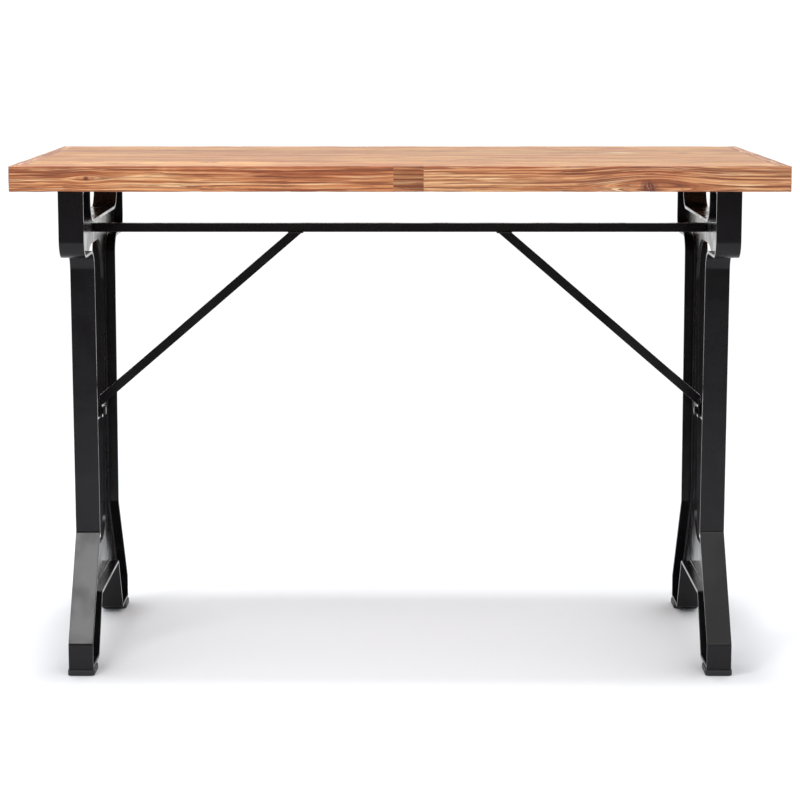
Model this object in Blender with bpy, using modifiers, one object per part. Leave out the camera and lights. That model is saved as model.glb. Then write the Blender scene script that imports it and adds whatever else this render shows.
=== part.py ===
"""A trestle table in the style of an old sewing machine stand: a fir top on two cast-look steel frames.

Metres, +Z up. The origin is on the floor under the middle of the top, +X runs along the table and
+Y towards its back. Each side frame is a thin web plate edged by flat bands, bent to its outline.
A bar joins the two frames under the top, and two braces run from it down to each frame's cross tie.
"""

import math

import bmesh
import bpy
from mathutils import Matrix, Vector

# Driving dimensions of the top
LENGTH = 1.220
WIDTH = 0.650
HEIGHT = 0.832
EDGE_HEIGHT = 0.040
EDGE_THICKNESS = 0.020
PLANK_THICKNESS = 0.022
PLANK_COUNT = 5
BATTEN_WIDTH = 0.070
BOARD_BEVEL = 0.0012

# Driving dimensions of a side frame, seen from the end of the table
FRAME_INSET = 0.090          # end of the top to the middle of the frame
BAND_WIDTH = 0.040
BAND_THICKNESS = 0.005
WEB_THICKNESS = 0.005
BLOCK_INSET = 0.045          # front edge of the top to the face of the block under it
BLOCK_LENGTH = 0.095         # one block, front to back
BLOCK_DEPTH = 0.110          # underside of the top to the bottom of the block
BLOCK_RADIUS = 0.030
NOTCH_DEPTH = 0.056          # underside of the top to the floor of the notch between the blocks
NOTCH_RADIUS = 0.036
WAIST_TOP = 0.1507           # half the stance where the leg leaves the block
WAIST_LOW = 0.140            # half the stance where the leg starts to splay
SPLAY_HEIGHT = 0.2135
FOOT_INSET = 0.063           # front edge of the top to the face of the foot
FOOT_HEIGHT = 0.052
SOLE_LENGTH = 0.084
ARCH_HALF = 0.121
ARCH_HEIGHT = 0.104
CREASE_RADIUS = 0.006
OPENING_TOP_DROP = 0.105     # underside of the top to the top of the opening between the legs
OPENING_TOP_HALF = 0.124
OPENING_TOP_RADIUS = 0.080
OPENING_BOTTOM = 0.165
OPENING_BOTTOM_HALF = 0.088
OPENING_BOTTOM_RADIUS = 0.060
MOUNT_THICKNESS = 0.004

# Foot pads
PAD_HEIGHT = 0.009
PAD_LENGTH = 0.056           # under the toe, shorter than the sole
PAD_FLARE = 0.002
PAD_RADIUS = 0.007

# Cross tie of each frame, the bar between the frames and its two braces
TIE_LOW = 0.3855
TIE_HEIGHT = 0.023
TIE_THICKNESS = 0.004
TIE_LAP = 0.015
TIE_FLANGE_WIDTH = 0.018
TIE_FLANGE_SPARE = 0.008
STRETCHER_DROP = 0.081       # underside of the top to the middle of the bar
STRETCHER_SIDE = 0.015
BRACE_SIDE = 0.015
BRACE_REACH = 0.3435         # middle of the frame to where the brace's centre line meets the bar
BRACE_RISE = 0.0205          # middle of the tie to the centre line where the brace meets its tab
TAB_THICKNESS = 0.004
TAB_WIDTH = 0.022
TAB_BELOW_BOLT = 0.0115

# Fasteners
BOLT_RADIUS = 0.004
BOLT_FLATS = 0.013
BOLT_HEAD = 0.0055
NUT_HEIGHT = 0.0065
BOLT_SPARE = 0.002
TAPPED_DEPTH = 0.032
SCREW_RADIUS = 0.0022
SCREW_HEAD_RADIUS = 0.0042
SCREW_HEAD_HEIGHT = 0.0026
SCREW_GRIP = 0.013           # how far a wood screw goes into its batten
SCREW_OFFSET = 0.011         # middle of the frame to each wood screw

# Clearances
GAP = 0.0003                 # between pieces that touch
HOLE_CLEARANCE = 0.0004      # round a shank
ARC_STEP = math.radians(9)

# Places that follow from the sizes
UNDERSIDE = HEIGHT - EDGE_HEIGHT
FRAME_X = LENGTH / 2 - FRAME_INSET
WEB_FACE = FRAME_X - WEB_THICKNESS / 2
BLOCK_HALF = WIDTH / 2 - BLOCK_INSET
NOTCH_HALF = BLOCK_HALF - BLOCK_LENGTH
FOOT_HALF = WIDTH / 2 - FOOT_INSET
SOLE_HALF = FOOT_HALF - SOLE_LENGTH
FRAME_TOP = UNDERSIDE - GAP
FRAME_BOTTOM = PAD_HEIGHT + GAP
BLOCK_BOTTOM = UNDERSIDE - BLOCK_DEPTH
NOTCH_FLOOR = UNDERSIDE - NOTCH_DEPTH
OPENING_TOP = UNDERSIDE - OPENING_TOP_DROP
STRETCHER_Z = UNDERSIDE - STRETCHER_DROP
TIE_OUTER = WEB_FACE - GAP
TIE_INNER = TIE_OUTER - TIE_THICKNESS
TIE_Z = TIE_LOW + TIE_HEIGHT / 2
TAB_OUTER = TIE_INNER - GAP
TAB_INNER = TAB_OUTER - TAB_THICKNESS
SCREW_Y = BLOCK_HALF - BLOCK_LENGTH / 2

# A flat outline is drawn in one of these planes and thickened square to it
PLAN = Matrix.Identity(4)
FROM_THE_END = Matrix(((0, 0, 1, 0), (1, 0, 0, 0), (0, 1, 0, 0), (0, 0, 0, 1)))
FROM_THE_FRONT = Matrix(((1, 0, 0, 0), (0, 0, -1, 0), (0, 1, 0, 0), (0, 0, 0, 1)))


# Scene, materials and collections

def clear_scene():
    for old in list(bpy.data.objects):
        bpy.data.objects.remove(old, do_unlink=True)


def new_collection(name, parent):
    made = bpy.data.collections.new(name)
    parent.children.link(made)
    return made


def new_material(name, colour, roughness, metallic=0.0):
    made = bpy.data.materials.new(name)
    made.use_nodes = True
    shader = made.node_tree.nodes["Principled BSDF"]
    shader.inputs["Base Color"].default_value = (*colour, 1)
    shader.inputs["Roughness"].default_value = roughness
    shader.inputs["Metallic"].default_value = metallic
    made.diffuse_color = (*colour, 1)
    return made


def add_object(name, data, material, collection):
    made = bpy.data.objects.new(name, data)
    made.data.materials.append(material)
    collection.objects.link(made)
    return made


# Outlines

def offset_corners(corners, distance):
    """Move an open run of (x, y, radius) corners to its left, keeping its arcs concentric."""
    points = [Vector(corner[:2]) for corner in corners]
    edges = [(b - a).normalized() for a, b in zip(points, points[1:])]
    sides = [Vector((-edge.y, edge.x)) for edge in edges]
    moved = [points[0] + sides[0] * distance]
    radii = [corner[2] for corner in corners]
    for i in range(1, len(points) - 1):
        share = (sides[i - 1] + sides[i]) / (1 + sides[i - 1].dot(sides[i]))
        moved.append(points[i] + share * distance)
        turn = math.copysign(1, edges[i - 1].cross(edges[i]))
        radii[i] = max(radii[i] - turn * distance, 0)
    moved.append(points[-1] + sides[-1] * distance)
    return [(point.x, point.y, radius) for point, radius in zip(moved, radii)]


def arc_at(before, corner, after, radius):
    """The points of the arc that rounds a corner, or the corner itself where it is sharp."""
    back, ahead = (before - corner).normalized(), (after - corner).normalized()
    turn = math.pi - back.angle(ahead)
    if radius <= 0 or turn < 1e-4:
        return [corner]
    reach = radius * math.tan(turn / 2)
    centre = corner + (back + ahead).normalized() * math.hypot(radius, reach)
    start = corner + back * reach - centre
    way = math.copysign(1, -back.cross(ahead))
    steps = max(2, math.ceil(turn / ARC_STEP))
    return [
        centre + Matrix.Rotation(way * turn * i / steps, 2) @ start
        for i in range(steps + 1)
    ]


def rounded(corners, closed=False):
    """An outline's points from its (x, y, radius) corners."""
    points = [Vector(corner[:2]) for corner in corners]
    count = len(points)
    made = []
    for i, corner in enumerate(corners):
        if not closed and i in (0, count - 1):
            made.append(points[i])
        else:
            made += arc_at(points[i - 1], points[i], points[(i + 1) % count], corner[2])
    return made


def mirrored(corners):
    """The same run on the other side of the middle, in the order that goes on from it."""
    return [(-x, y, radius) for x, y, radius in reversed(corners)]


def circle(x, y, radius, sides=16):
    return [
        Vector((x, y)) + Matrix.Rotation(math.tau * i / sides, 2) @ Vector((radius, 0))
        for i in range(sides)
    ]


def hexagon(flats):
    return circle(0, 0, flats / 2 / math.cos(math.pi / 6), 6)


def strip(corners, thickness):
    """A bent flat strip seen edge on: its face on the corners, its thickness to their left."""
    return rounded(corners) + rounded(offset_corners(corners, thickness))[::-1]


# Solids

def sheet(name, loops, thickness, plane, centre, material, collection):
    """A flat outline with holes, thickened to both sides of its centre plane."""
    curve = bpy.data.curves.new(name, "CURVE")
    curve.dimensions = "2D"
    curve.fill_mode = "BOTH"
    curve.extrude = thickness / 2
    for loop in loops:
        spline = curve.splines.new("POLY")
        spline.points.add(len(loop) - 1)
        spline.use_cyclic_u = True
        for point, place in zip(spline.points, loop):
            point.co = (place.x, place.y, 0, 1)
    made = add_object(name, curve, material, collection)
    made.matrix_world = Matrix.Translation(centre) @ plane
    return made


def as_mesh(curve_object):
    """The curve object as a closed mesh, so that it can be cut and joined."""
    bpy.context.view_layer.update()
    graph = bpy.context.evaluated_depsgraph_get()
    mesh = bpy.data.meshes.new_from_object(curve_object.evaluated_get(graph))
    work = bmesh.new()
    work.from_mesh(mesh)
    bmesh.ops.remove_doubles(work, verts=work.verts, dist=1e-6)
    bmesh.ops.recalc_face_normals(work, faces=work.faces)
    work.to_mesh(mesh)
    work.free()
    name, place = curve_object.name, curve_object.matrix_world.copy()
    collection = curve_object.users_collection[0]
    bpy.data.objects.remove(curve_object, do_unlink=True)
    made = bpy.data.objects.new(name, mesh)
    collection.objects.link(made)
    made.matrix_world = place
    return made


def block(name, low, high, material, collection):
    mesh = bpy.data.meshes.new(name)
    work = bmesh.new()
    bmesh.ops.create_cube(work, size=1)
    size = Vector(high) - Vector(low)
    bmesh.ops.scale(work, vec=size, verts=work.verts)
    work.to_mesh(mesh)
    work.free()
    made = add_object(name, mesh, material, collection)
    made.location = (Vector(low) + Vector(high)) / 2
    return made


def rod(name, radius, start, end, sides, material, collection):
    """A round or six-sided rod from one point to another."""
    mesh = bpy.data.meshes.new(name)
    start, end = Vector(start), Vector(end)
    axis = end - start
    work = bmesh.new()
    bmesh.ops.create_cone(
        work, cap_ends=True, segments=sides, radius1=radius, radius2=radius, depth=axis.length
    )
    work.to_mesh(mesh)
    work.free()
    made = add_object(name, mesh, material, collection)
    made.matrix_world = (
        Matrix.Translation((start + end) / 2) @ axis.to_track_quat("Z", "Y").to_matrix().to_4x4()
    )
    return made


def turned(name, profile, place, material, collection, sides=12):
    """A shape turned about +Z, from its profile of (radius, height) points, top to bottom."""
    mesh = bpy.data.meshes.new(name)
    points = [(radius, 0, height) for radius, height in profile]
    mesh.from_pydata(points, [(i, i + 1) for i in range(len(points) - 1)], [])
    made = add_object(name, mesh, material, collection)
    spin = made.modifiers.new("turn", "SCREW")
    spin.steps = spin.render_steps = sides
    spin.use_merge_vertices = True
    spin.merge_threshold = 1e-6
    made.location = place
    return made


def add_boolean(target, tool, operation):
    tool.hide_render = True
    tool.display_type = "WIRE"
    modifier = target.modifiers.new(operation.lower(), "BOOLEAN")
    modifier.operation = operation
    modifier.solver = "EXACT"
    modifier.object = tool


def add_bevel(target, width, segments=1):
    if target.type == "CURVE":
        weld = target.modifiers.new("weld", "WELD")
        weld.merge_threshold = 1e-5
    bevel = target.modifiers.new("bevel", "BEVEL")
    bevel.width = width
    bevel.segments = segments
    bevel.limit_method = "ANGLE"
    bevel.angle_limit = math.radians(40)


# The top

def make_edge_boards(wood, parts):
    """Four upright boards, mitred at the corners, that make the thick edge of the top."""
    mitre = GAP * math.sqrt(2)
    half_x, half_y = LENGTH / 2, WIDTH / 2
    along = [
        Vector((-half_x, -half_y)), Vector((half_x, -half_y)),
        Vector((half_x - EDGE_THICKNESS, EDGE_THICKNESS - half_y)),
        Vector((EDGE_THICKNESS - half_x, EDGE_THICKNESS - half_y)),
    ]
    across = [
        Vector((-half_x, half_y - mitre)), Vector((-half_x, mitre - half_y)),
        Vector((EDGE_THICKNESS - half_x, EDGE_THICKNESS + mitre - half_y)),
        Vector((EDGE_THICKNESS - half_x, half_y - EDGE_THICKNESS - mitre)),
    ]
    centre = (0, 0, UNDERSIDE + EDGE_HEIGHT / 2)
    outlines = {
        "edge_board_front": along,
        "edge_board_back": [-point for point in along],
        "edge_board_left": across,
        "edge_board_right": [-point for point in across],
    }
    for name, outline in outlines.items():
        add_bevel(sheet(name, [outline], EDGE_HEIGHT, PLAN, centre, wood, parts), BOARD_BEVEL)


def make_planks(wood, parts):
    half_x = LENGTH / 2 - EDGE_THICKNESS - GAP
    half_y = WIDTH / 2 - EDGE_THICKNESS - GAP
    pitch = (2 * half_y + GAP) / PLANK_COUNT
    for i in range(PLANK_COUNT):
        front = -half_y + i * pitch
        low = (-half_x, front, HEIGHT - PLANK_THICKNESS)
        high = (half_x, front + pitch - GAP, HEIGHT)
        add_bevel(block(f"top_plank_{i + 1}", low, high, wood, parts), BOARD_BEVEL)


def make_battens(wood, parts, tools):
    """Three battens under the planks: one over each frame, which it is screwed to, and one between."""
    half_y = WIDTH / 2 - EDGE_THICKNESS - GAP
    top = HEIGHT - PLANK_THICKNESS - GAP
    for name, x in (("left", -FRAME_X), ("middle", 0), ("right", FRAME_X)):
        low = (x - BATTEN_WIDTH / 2, -half_y, UNDERSIDE)
        high = (x + BATTEN_WIDTH / 2, half_y, top)
        batten = block(f"batten_{name}", low, high, wood, parts)
        if not x:
            continue
        for i, (hole_x, hole_y) in enumerate(screw_places(x)):
            start = (hole_x, hole_y, UNDERSIDE - 2 * GAP)
            end = (hole_x, hole_y, UNDERSIDE + SCREW_GRIP + GAP)
            hole = rod(f"{name}_pilot_{i}", SCREW_RADIUS + HOLE_CLEARANCE, start, end, 12, wood, tools)
            add_boolean(batten, hole, "DIFFERENCE")


def screw_places(x):
    return [(x + dx, y) for y in (-SCREW_Y, SCREW_Y) for dx in (-SCREW_OFFSET, SCREW_OFFSET)]


# A side frame

def outer_run():
    """Face of the front band, from the top down: block, waist, splay and foot."""
    return [
        (-BLOCK_HALF, FRAME_TOP, 0),
        (-BLOCK_HALF, BLOCK_BOTTOM, BLOCK_RADIUS),
        (-WAIST_TOP, BLOCK_BOTTOM, BLOCK_RADIUS),
        (-WAIST_LOW, SPLAY_HEIGHT, CREASE_RADIUS),
        (-FOOT_HALF, FOOT_HEIGHT, CREASE_RADIUS),
        (-FOOT_HALF, FRAME_BOTTOM, 0),
    ]


def notch_run():
    """Face of the band round the notch under the top, front to back."""
    front = [(-NOTCH_HALF, FRAME_TOP, 0), (-NOTCH_HALF, NOTCH_FLOOR, NOTCH_RADIUS)]
    return front + mirrored(front)


def arch_run():
    """Under face of the band that closes the feet and the arch between them, back to front."""
    back = [
        (FOOT_HALF - BAND_THICKNESS - GAP, FRAME_BOTTOM, 0),
        (SOLE_HALF, FRAME_BOTTOM, CREASE_RADIUS),
        (ARCH_HALF, ARCH_HEIGHT, CREASE_RADIUS),
    ]
    return back + mirrored(back)


def opening_run():
    top = [(OPENING_TOP_HALF, OPENING_TOP, OPENING_TOP_RADIUS)]
    bottom = [(-OPENING_BOTTOM_HALF, OPENING_BOTTOM, OPENING_BOTTOM_RADIUS)]
    return top + mirrored(top) + bottom + mirrored(bottom)


def opening_half(z):
    """Half the width of the opening at a height on its straight sides."""
    share = (z - OPENING_BOTTOM) / (OPENING_TOP - OPENING_BOTTOM)
    return OPENING_BOTTOM_HALF + share * (OPENING_TOP_HALF - OPENING_BOTTOM_HALF)


def web_outline():
    """The web fills the frame inside its bands, a gap away from each of them."""
    inset = BAND_THICKNESS + GAP
    top = FRAME_TOP - MOUNT_THICKNESS - GAP
    front = offset_corners(outer_run(), inset)
    front[0] = (front[0][0], top, 0)
    front[-1] = (front[-1][0], FRAME_BOTTOM + inset, 0)
    notch = offset_corners(notch_run(), -inset)
    notch[0] = (notch[0][0], top, 0)
    notch[-1] = (notch[-1][0], top, 0)
    arch = offset_corners(arch_run(), -inset)
    back = mirrored(front)
    return rounded(front) + rounded(arch)[::-1][1:-1] + rounded(back) + rounded(notch)[::-1]


def make_frame(side, steel, plastic, parts):
    """One side frame: web, four bands, two mounting plates and two foot pads."""
    x = FRAME_X if side == "right" else -FRAME_X
    holes = [rounded(opening_run(), closed=True)]
    holes.append(circle(0, STRETCHER_Z, BOLT_RADIUS + HOLE_CLEARANCE))
    loops = [web_outline(), *holes]
    sheet(f"{side}_web_plate", loops, WEB_THICKNESS, FROM_THE_END, (x, 0, 0), steel, parts)
    bands = {
        "front_band": strip(outer_run(), BAND_THICKNESS),
        "rear_band": strip(mirrored(outer_run()), BAND_THICKNESS),
        "notch_band": strip(notch_run(), -BAND_THICKNESS),
        "arch_band": strip(arch_run(), -BAND_THICKNESS),
    }
    for name, outline in bands.items():
        sheet(f"{side}_{name}", [outline], BAND_WIDTH, FROM_THE_END, (x, 0, 0), steel, parts)
    for end, way in (("front", -1), ("rear", 1)):
        make_mount_plate(f"{side}_{end}_mount_plate", x, way, steel, parts)
        make_foot_pad(f"{side}_{end}_foot_pad", x, way, plastic, parts)


def make_mount_plate(name, x, way, steel, parts):
    """The plate that closes a block and takes its two wood screws."""
    inner = NOTCH_HALF + BAND_THICKNESS + GAP
    outer = BLOCK_HALF - BAND_THICKNESS - GAP
    half = BAND_WIDTH / 2
    outline = [
        Vector((dx, way * y)) for dx, y in ((-half, inner), (half, inner), (half, outer), (-half, outer))
    ]
    holes = [
        circle(dx, way * SCREW_Y, SCREW_RADIUS + HOLE_CLEARANCE, 12) for dx in (-SCREW_OFFSET, SCREW_OFFSET)
    ]
    centre = (x, 0, FRAME_TOP - MOUNT_THICKNESS / 2)
    sheet(name, [outline, *holes], MOUNT_THICKNESS, PLAN, centre, steel, parts)


def make_foot_pad(name, x, way, plastic, parts):
    """A flat glide under the toe of a foot, standing a little proud of it."""
    half_x = BAND_WIDTH / 2 + PAD_FLARE
    half_y = PAD_LENGTH / 2
    corners = [
        (-half_x, -half_y, PAD_RADIUS), (half_x, -half_y, PAD_RADIUS),
        (half_x, half_y, PAD_RADIUS), (-half_x, half_y, PAD_RADIUS),
    ]
    centre = (x, way * (FOOT_HALF + PAD_FLARE - half_y), PAD_HEIGHT / 2)
    sheet(name, [rounded(corners, closed=True)], PAD_HEIGHT, PLAN, centre, plastic, parts)


# The bar, its braces and the ties that they are bolted to

def make_stretcher(steel, parts, tools):
    half = WEB_FACE - GAP
    side = STRETCHER_SIDE / 2
    low, high = (-half, -side, STRETCHER_Z - side), (half, side, STRETCHER_Z + side)
    bar = block("stretcher_bar", low, high, steel, parts)
    for way in (-1, 1):
        start = (way * (half - TAPPED_DEPTH), 0, STRETCHER_Z)
        end = (way * (half + GAP), 0, STRETCHER_Z)
        tapped = rod(f"tapped_hole_{way}", BOLT_RADIUS + HOLE_CLEARANCE, start, end, 16, steel, tools)
        add_boolean(bar, tapped, "DIFFERENCE")


def make_tie(side, way, steel, parts, tools):
    """An angle bar lapped on the web across the opening, its flange turned out between the legs."""
    half = opening_half(TIE_Z) + TIE_LAP
    clear = opening_half(TIE_LOW) - TIE_FLANGE_SPARE
    x_low, x_high = sorted((way * TIE_INNER, way * TIE_OUTER))
    top = TIE_LOW + TIE_HEIGHT
    low, high = (x_low, -half, TIE_LOW), (x_high, half, top)
    tie = block(f"{side}_cross_tie", low, high, steel, parts)
    x_low, x_high = sorted((way * TIE_INNER, way * (TIE_INNER + TIE_FLANGE_WIDTH)))
    low, high = (x_low, -clear, top - TIE_THICKNESS / 2), (x_high, clear, top + TIE_THICKNESS / 2)
    add_boolean(tie, block(f"{side}_tie_flange", low, high, steel, tools), "UNION")
    start, end = (way * (TIE_INNER - GAP), 0, TIE_Z), (way * (TIE_OUTER + GAP), 0, TIE_Z)
    hole = rod(f"{side}_tie_hole", BOLT_RADIUS + HOLE_CLEARANCE, start, end, 16, steel, tools)
    add_boolean(tie, hole, "DIFFERENCE")


def brace_outline(way):
    """A brace seen from the front: cut level under the bar, and down to the plane of its tab."""
    top = STRETCHER_Z - STRETCHER_SIDE / 2 - GAP
    upper = Vector((FRAME_X - BRACE_REACH, top))
    lower = Vector((TAB_INNER, TIE_Z + BRACE_RISE))
    run = (lower - upper).normalized()
    level = BRACE_SIDE / 2 / -run.y
    upright = BRACE_SIDE / 2 / run.x
    slope = run.y / run.x
    outline = [
        Vector((upper.x - level, top)),
        Vector((TAB_OUTER, lower.y - upright + slope * TAB_THICKNESS)),
        Vector((TAB_OUTER, lower.y + upright + slope * TAB_THICKNESS)),
        Vector((upper.x + level, top)),
    ]
    return [Vector((way * point.x, point.y)) for point in outline]


def make_brace(side, way, steel, parts, tools):
    """A square bar with a flat tab at its lower end, bolted to the cross tie."""
    brace = as_mesh(
        sheet(f"{side}_brace", [brace_outline(way)], BRACE_SIDE, FROM_THE_FRONT, (0, 0, 0), steel, parts)
    )
    tab_top = TIE_Z + BRACE_RISE
    corners = [
        (-TAB_WIDTH / 2, TIE_Z - TAB_BELOW_BOLT, TAB_WIDTH / 2 - 2 * GAP),
        (TAB_WIDTH / 2, TIE_Z - TAB_BELOW_BOLT, TAB_WIDTH / 2 - 2 * GAP),
        (TAB_WIDTH / 2, tab_top, 0),
        (-TAB_WIDTH / 2, tab_top, 0),
    ]
    centre = (way * (TAB_INNER + TAB_OUTER) / 2, 0, 0)
    outline = [rounded(corners, closed=True)]
    tab = as_mesh(sheet(f"{side}_tab", outline, TAB_THICKNESS, FROM_THE_END, centre, steel, tools))
    add_boolean(brace, tab, "UNION")
    start, end = (way * (TAB_INNER - GAP), 0, TIE_Z), (way * (TAB_OUTER + GAP), 0, TIE_Z)
    hole = rod(f"{side}_tab_hole", BOLT_RADIUS + HOLE_CLEARANCE, start, end, 16, steel, tools)
    add_boolean(brace, hole, "DIFFERENCE")


# Fasteners

def make_bolt(name, head_at, tip_x, way, steel, parts, tools):
    """A hexagon head bolt along X: its head stands off head_at, and its shank ends at tip_x."""
    x, y, z = head_at
    corner_radius = BOLT_FLATS / 2 / math.cos(math.pi / 6)
    start, end = (x, y, z), (x + way * BOLT_HEAD, y, z)
    bolt = rod(name, corner_radius, start, end, 6, steel, parts)
    start, end = (x + way * BOLT_HEAD / 2, y, z), (tip_x, y, z)
    add_boolean(bolt, rod(f"{name}_shank", BOLT_RADIUS, start, end, 16, steel, tools), "UNION")


def make_fasteners(side, way, steel, parts, tools):
    outside = WEB_FACE + WEB_THICKNESS + GAP
    tip = WEB_FACE - GAP - TAPPED_DEPTH + BOLT_SPARE
    head = (way * outside, 0, STRETCHER_Z)
    make_bolt(f"{side}_stretcher_bolt", head, way * tip, way, steel, parts, tools)
    nut_face = TIE_OUTER + GAP
    tip = nut_face + NUT_HEIGHT + BOLT_SPARE
    head = (way * (TAB_INNER - GAP), 0, TIE_Z)
    make_bolt(f"{side}_brace_bolt", head, way * tip, -way, steel, parts, tools)
    loops = [hexagon(BOLT_FLATS), circle(0, 0, BOLT_RADIUS + HOLE_CLEARANCE)]
    centre = (way * (nut_face + NUT_HEIGHT / 2), 0, TIE_Z)
    sheet(f"{side}_brace_nut", loops, NUT_HEIGHT, FROM_THE_END, centre, steel, parts)
    under = FRAME_TOP - MOUNT_THICKNESS - GAP
    length = UNDERSIDE + SCREW_GRIP - under
    profile = [
        (0, length), (SCREW_RADIUS * 0.4, length), (SCREW_RADIUS, length - 2 * SCREW_RADIUS),
        (SCREW_RADIUS, 0), (SCREW_HEAD_RADIUS, 0),
        (SCREW_HEAD_RADIUS, -0.4 * SCREW_HEAD_HEIGHT), (0.6 * SCREW_HEAD_RADIUS, -SCREW_HEAD_HEIGHT),
        (0, -SCREW_HEAD_HEIGHT),
    ]
    ends = ("front_inner", "front_outer", "rear_inner", "rear_outer")
    if way < 0:
        ends = ("front_outer", "front_inner", "rear_outer", "rear_inner")
    for end, (x, y) in zip(ends, screw_places(way * FRAME_X)):
        turned(f"{side}_{end}_wood_screw", profile, (x, y, under), steel, parts)


def main():
    clear_scene()
    parts = new_collection("sewing_table", bpy.context.scene.collection)
    tools = new_collection("cutters", bpy.context.scene.collection)
    top_wood = new_material("oiled_fir", (0.56, 0.32, 0.17), 0.5)
    edge_wood = new_material("fir_edge", (0.44, 0.21, 0.10), 0.55)
    steel = new_material("black_paint", (0.016, 0.015, 0.016), 0.35)
    plastic = new_material("black_plastic", (0.02, 0.02, 0.02), 0.6)
    zinc = new_material("blackened_steel", (0.05, 0.05, 0.05), 0.4, 0.8)
    make_edge_boards(edge_wood, parts)
    make_planks(top_wood, parts)
    make_battens(edge_wood, parts, tools)
    make_stretcher(steel, parts, tools)
    for side, way in (("left", -1), ("right", 1)):
        make_frame(side, steel, plastic, parts)
        make_tie(side, way, steel, parts, tools)
        make_brace(side, way, steel, parts, tools)
        make_fasteners(side, way, zinc, parts, tools)


main()
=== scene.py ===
# %% [markdown]
# # A sewing table: a fir top on a black steel stand
# The stand is a pair of flat side frames joined by one square bar and two braces. The top is a tray
# of fir boards: planks inside four mitred edge boards, on three battens. The frame below gives every
# solid its true place and size, so this lesson adds only what the eye sees: soft arrises, welds,
# threads, grain, knots and paint. Every piece keeps to its own solid's box.

# %% Load the frame
import math
import random

import bmesh
import bpy
from mathutils import Matrix, Vector


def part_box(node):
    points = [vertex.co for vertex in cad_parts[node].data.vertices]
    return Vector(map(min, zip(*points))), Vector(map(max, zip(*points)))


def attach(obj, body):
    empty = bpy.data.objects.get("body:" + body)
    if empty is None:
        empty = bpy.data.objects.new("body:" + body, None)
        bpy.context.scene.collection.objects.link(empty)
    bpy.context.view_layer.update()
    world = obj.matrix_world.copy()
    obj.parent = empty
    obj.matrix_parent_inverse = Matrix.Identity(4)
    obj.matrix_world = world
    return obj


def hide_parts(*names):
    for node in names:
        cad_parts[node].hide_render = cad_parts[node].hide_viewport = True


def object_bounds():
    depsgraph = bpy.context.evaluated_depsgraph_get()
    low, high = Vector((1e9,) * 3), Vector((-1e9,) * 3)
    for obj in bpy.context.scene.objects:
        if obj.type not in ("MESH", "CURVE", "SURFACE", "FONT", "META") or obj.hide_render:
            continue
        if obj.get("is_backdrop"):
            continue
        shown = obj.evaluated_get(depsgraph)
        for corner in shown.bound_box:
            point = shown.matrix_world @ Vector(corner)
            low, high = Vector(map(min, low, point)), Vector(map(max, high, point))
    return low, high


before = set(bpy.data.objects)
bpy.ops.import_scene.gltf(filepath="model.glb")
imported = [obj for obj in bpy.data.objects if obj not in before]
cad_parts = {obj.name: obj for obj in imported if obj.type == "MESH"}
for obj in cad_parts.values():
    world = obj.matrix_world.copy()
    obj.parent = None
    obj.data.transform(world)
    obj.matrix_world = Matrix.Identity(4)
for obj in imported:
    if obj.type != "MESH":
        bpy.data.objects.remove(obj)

cad_low, cad_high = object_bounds()
size = cad_high - cad_low
print(f"frame: {len(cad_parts)} nodes, {size.x:.3f} x {size.y:.3f} x {size.z:.3f} m")

# %% [markdown]
# ## The camera
# A long lens far away keeps the table's uprights nearly parallel, as in a catalogue picture. The
# camera stands a little higher than the top, so that the top shows as a thin bright band.

# %% Camera
LENS = 111.4                            # in millimetres, on a 36 mm frame
SENSOR = 36
CAMERA_BACK = 4.1876                    # in metres, from the middle of the table
CAMERA_HEIGHT = 1.0472                  # above the floor
CAMERA_TILT = math.radians(81.417)      # 90 degrees would look level


def add_object(name, data):
    """A new object in the scene, at the origin."""
    thing = bpy.data.objects.new(name, data)
    bpy.context.scene.collection.objects.link(thing)
    return thing


camera = add_object("camera", bpy.data.cameras.new("camera"))
camera.data.lens = LENS
camera.data.sensor_width = SENSOR
camera.location = (0, -CAMERA_BACK, CAMERA_HEIGHT)
camera.rotation_euler = (CAMERA_TILT, 0, 0)
bpy.context.scene.camera = camera
bpy.context.scene.view_settings.view_transform = "Standard"
print("camera:", tuple(round(x, 3) for x in camera.location))

# %% [markdown]
# ## Drawing node trees with arithmetic
# Materials and Geometry Nodes are both node trees. `Sheet.add` makes any node: its settings first,
# then its sockets. It hands back a `Wire`, and arithmetic on a wire adds the Math nodes for it, so a
# formula such as `1 - mask * 0.5` reads as one.

# %% Wire and Sheet
class Wire:
    """One output of a node. Arithmetic on it adds the Math nodes that work it out."""

    def __init__(self, sheet, socket):
        self.sheet = sheet
        self.socket = socket

    def other(self, output):
        """Another output of the same node."""
        return Wire(self.sheet, self.socket.node.outputs[output])

    def __add__(self, value):
        return self.sheet.maths("ADD", self, value)

    def __radd__(self, value):
        return self.sheet.maths("ADD", value, self)

    def __sub__(self, value):
        return self.sheet.maths("SUBTRACT", self, value)

    def __rsub__(self, value):
        return self.sheet.maths("SUBTRACT", value, self)

    def __mul__(self, value):
        return self.sheet.maths("MULTIPLY", self, value)

    def __rmul__(self, value):
        return self.sheet.maths("MULTIPLY", value, self)

    def __truediv__(self, value):
        return self.sheet.maths("DIVIDE", self, value)

    def __rtruediv__(self, value):
        return self.sheet.maths("DIVIDE", value, self)

    def __pow__(self, value):
        return self.sheet.maths("POWER", self, value)

    def __gt__(self, value):
        return self.sheet.maths("GREATER_THAN", self, value)

    def __abs__(self):
        return self.sheet.maths("ABSOLUTE", self)


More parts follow.
